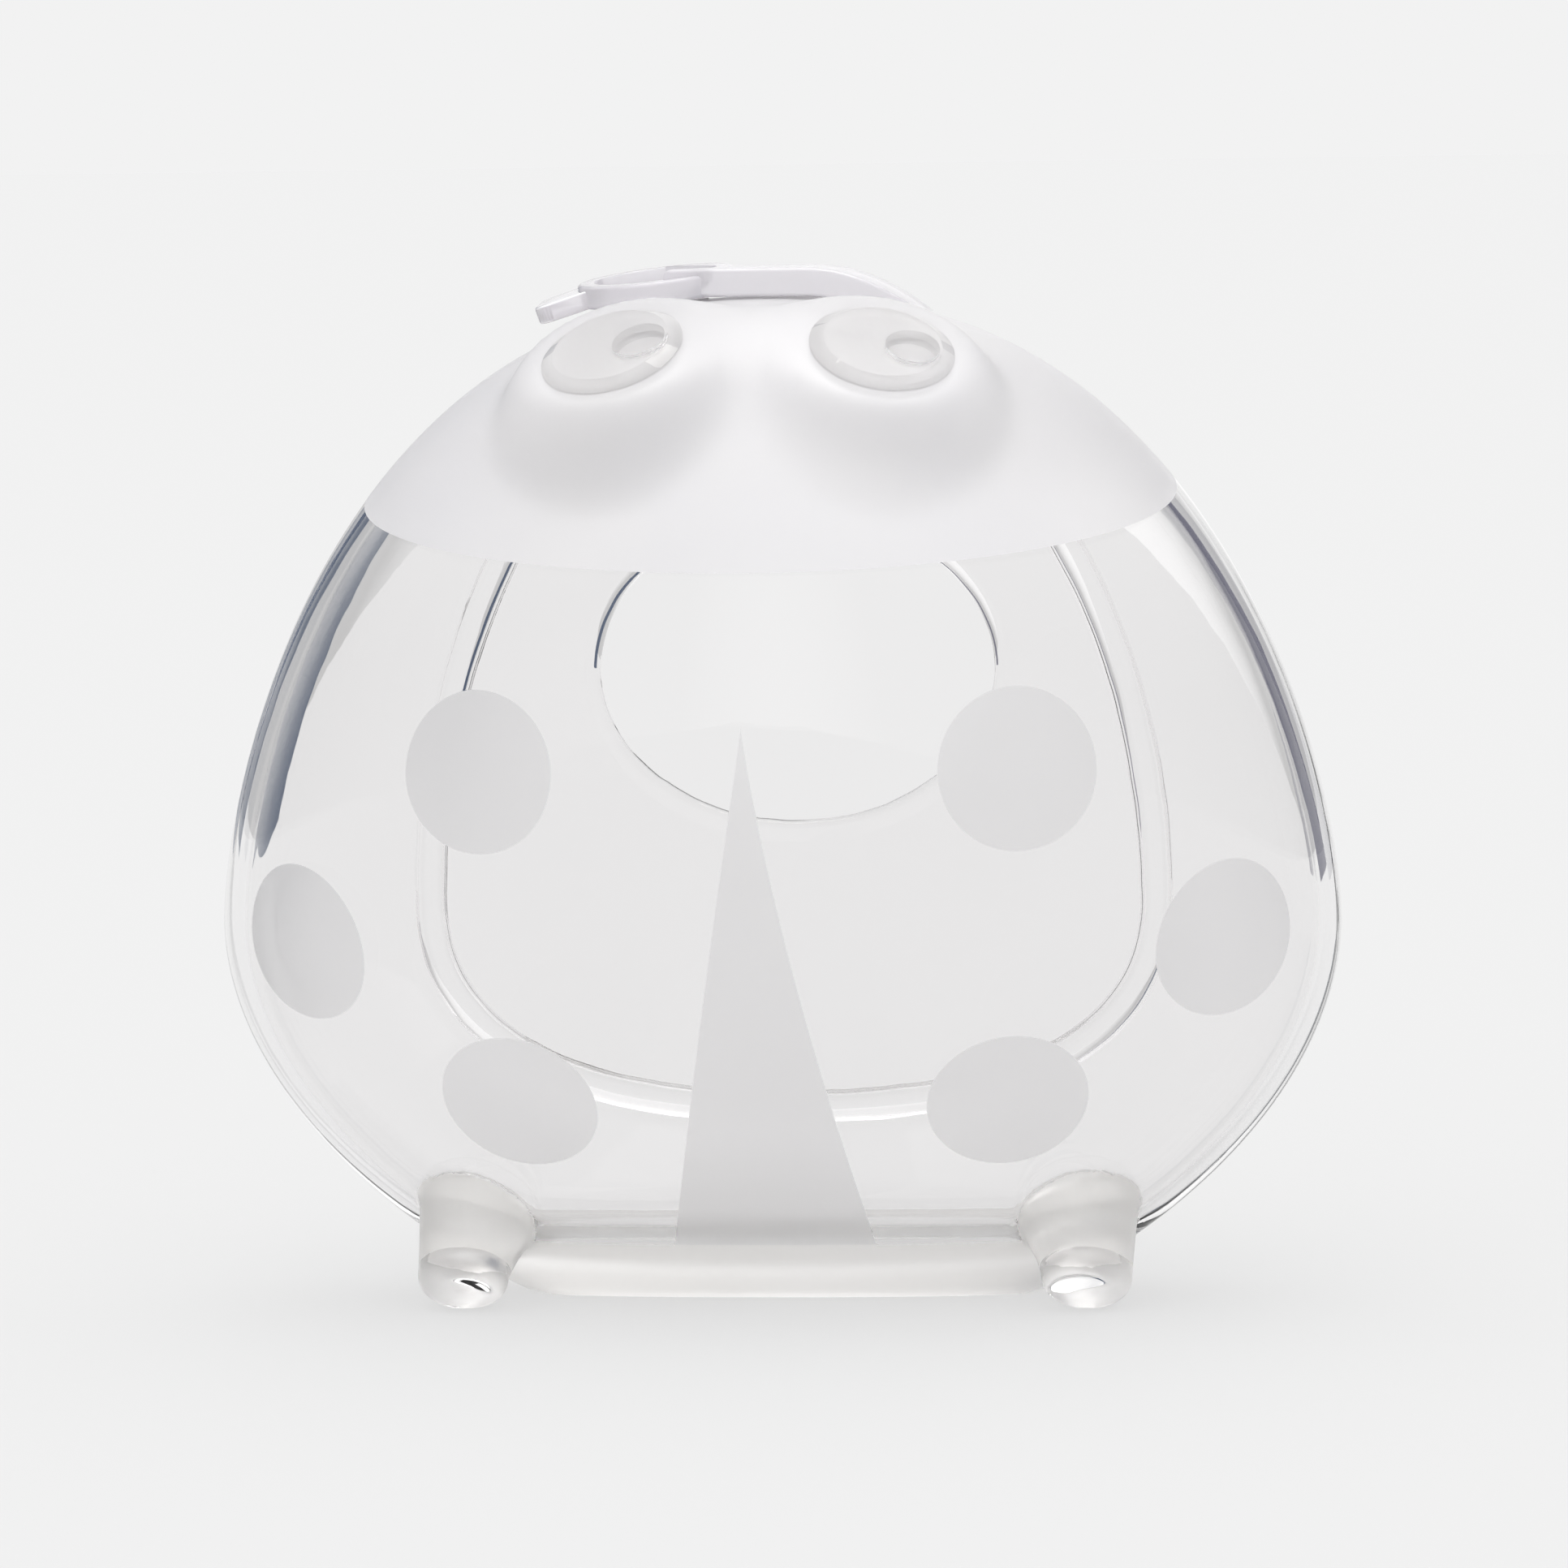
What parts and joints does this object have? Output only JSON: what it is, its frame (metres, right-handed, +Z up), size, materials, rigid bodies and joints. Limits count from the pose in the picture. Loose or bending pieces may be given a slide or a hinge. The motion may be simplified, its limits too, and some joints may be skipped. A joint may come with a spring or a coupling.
{
  "type": "wearable breast-milk collector",
  "caption": "Hollow clear silicone breast-milk collector in a ladybird shape, with a dished rear cup, a nipple opening, stub feet and a strap stopper over its pour hole.",
  "frame": {"origin": "on the base's flat underside, midway across, in line with the body's widest section", "axes": "+X to the right seen from the front, the front faces -Y, +Z up"},
  "size_m": [0.112, 0.0491, 0.103],
  "materials": {
    "clear": "clear glossy silicone",
    "clear_thick": "clear glossy silicone, thick section",
    "frosted": "frosted translucent silicone",
    "milky": "milky translucent silicone",
    "glossy": "polished clear silicone",
    "pupil": "polished clear silicone"
  },
  "bodies": {
    "collector": {"front_shell": "clear", "back_shell": "clear", "seal_rim": "clear_thick", "breast_dish": "clear", "foot_left": "clear_thick", "foot_right": "clear_thick", "spout_collar": "clear_thick", "strap_root": "clear_thick", "head_cap": "frosted", "base_pad": "milky", "eye_left": "glossy", "eye_right": "glossy", "pupil_left": "pupil", "pupil_right": "pupil"},
    "closure": {"closure_strap": "clear_thick", "stopper_ring": "clear_thick", "stopper_plug": "clear_thick", "pull_tab": "clear_thick"}
  },
  "joints": [
    {"name": "closure_hinge", "type": "hinge", "parent": "collector", "child": "closure", "pos_m": [0.013, -0.0015, 0.0999], "axis": [0, 1, 0], "range_deg": [0, 125]}
  ]
}
